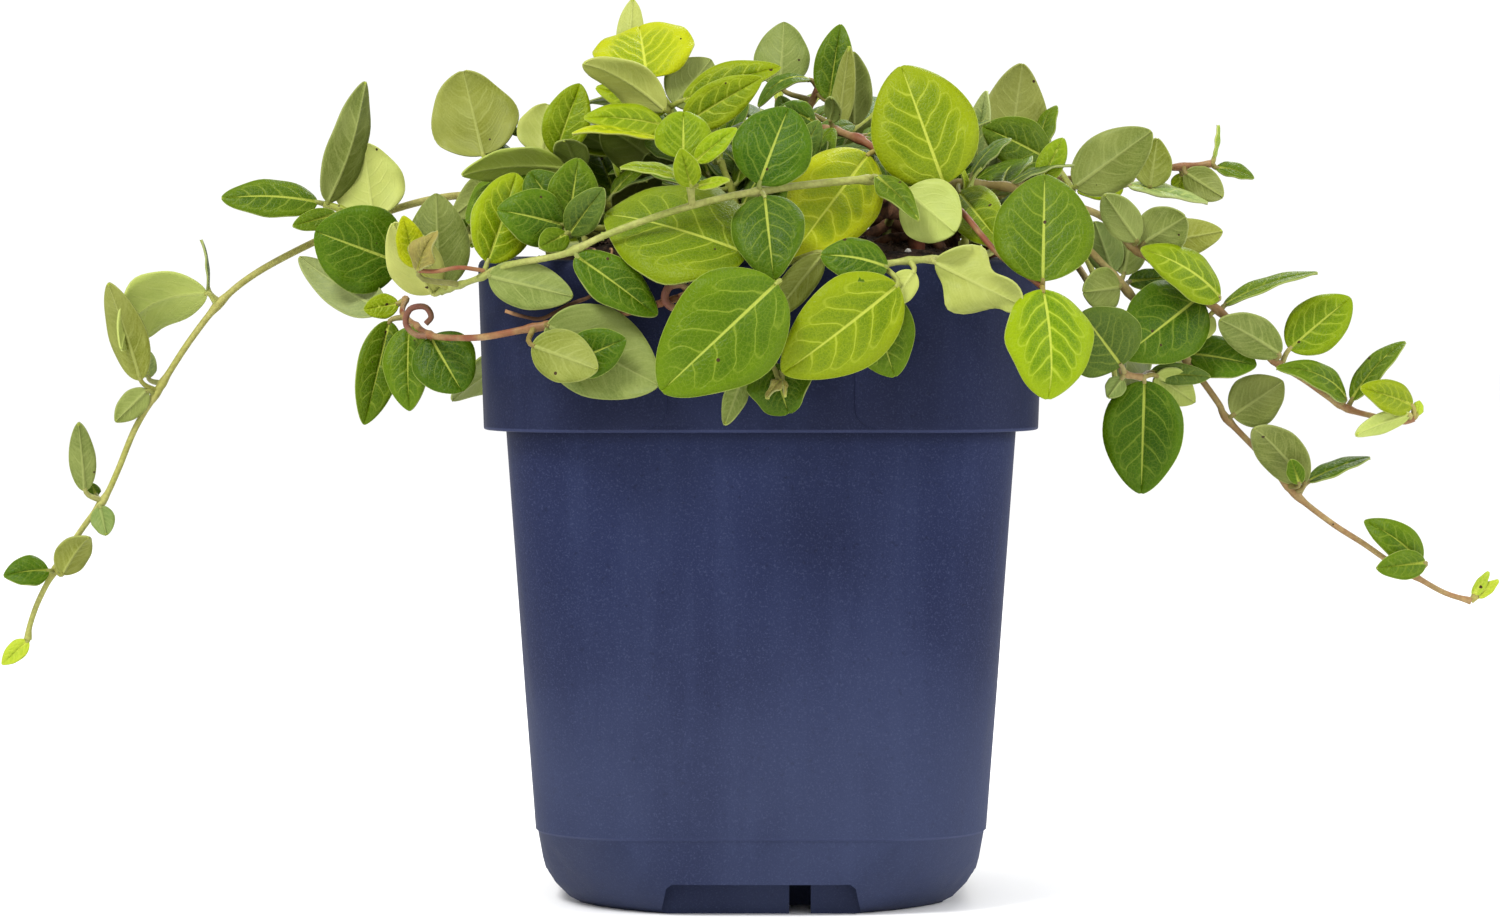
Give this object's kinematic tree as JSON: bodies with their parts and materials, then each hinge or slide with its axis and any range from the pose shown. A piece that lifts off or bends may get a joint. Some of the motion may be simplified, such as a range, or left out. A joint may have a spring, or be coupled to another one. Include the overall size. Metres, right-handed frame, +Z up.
{
  "type": "potted trailing plant",
  "caption": "Evergreen trailing plant with glossy pointed leaves on thin arching stems, growing in a square tapered plastic pot with a deep collar.",
  "frame": {"origin": "centre of the pot's flat underside, on the surface that the pot stands on", "axes": "+Z up, +X to the right as the picture shows it, -Y towards the camera"},
  "size_m": [0.3261, 0.1894, 0.1953],
  "materials": {
    "navy_plastic": "matt moulded plastic with a fine grain",
    "peat": "dark crumbly peat with pale grains",
    "woody_stem": "rough brown bark",
    "foliage": "glossy waxy leaves with pale matt undersides"
  },
  "bodies": {
    "root": {"pot": "navy_plastic", "soil": "peat", "old_stem_left": "woody_stem", "old_stem_right": "woody_stem", "stem_long_left": "foliage", "stem_upper_left": "foliage", "stem_front_left": "foliage", "stem_front_red": "foliage", "stem_front_centre": "foliage", "stem_front_right": "foliage", "stem_red_right": "foliage", "stem_long_right": "foliage", "stem_low_right": "foliage", "stem_hanging_right": "foliage", "stem_upper_right": "foliage", "stem_back_right": "foliage", "stem_top_centre": "foliage", "stem_mid_left": "foliage", "stem_tuft_left": "foliage", "stem_back_centre": "foliage", "stem_rear_01": "foliage", "stem_rear_02": "foliage", "stem_rear_03": "foliage", "stem_rear_04": "foliage", "stem_rear_05": "foliage", "stem_rear_06": "foliage", "stem_rear_07": "foliage", "stem_rear_08": "foliage"}
  },
  "joints": []
}
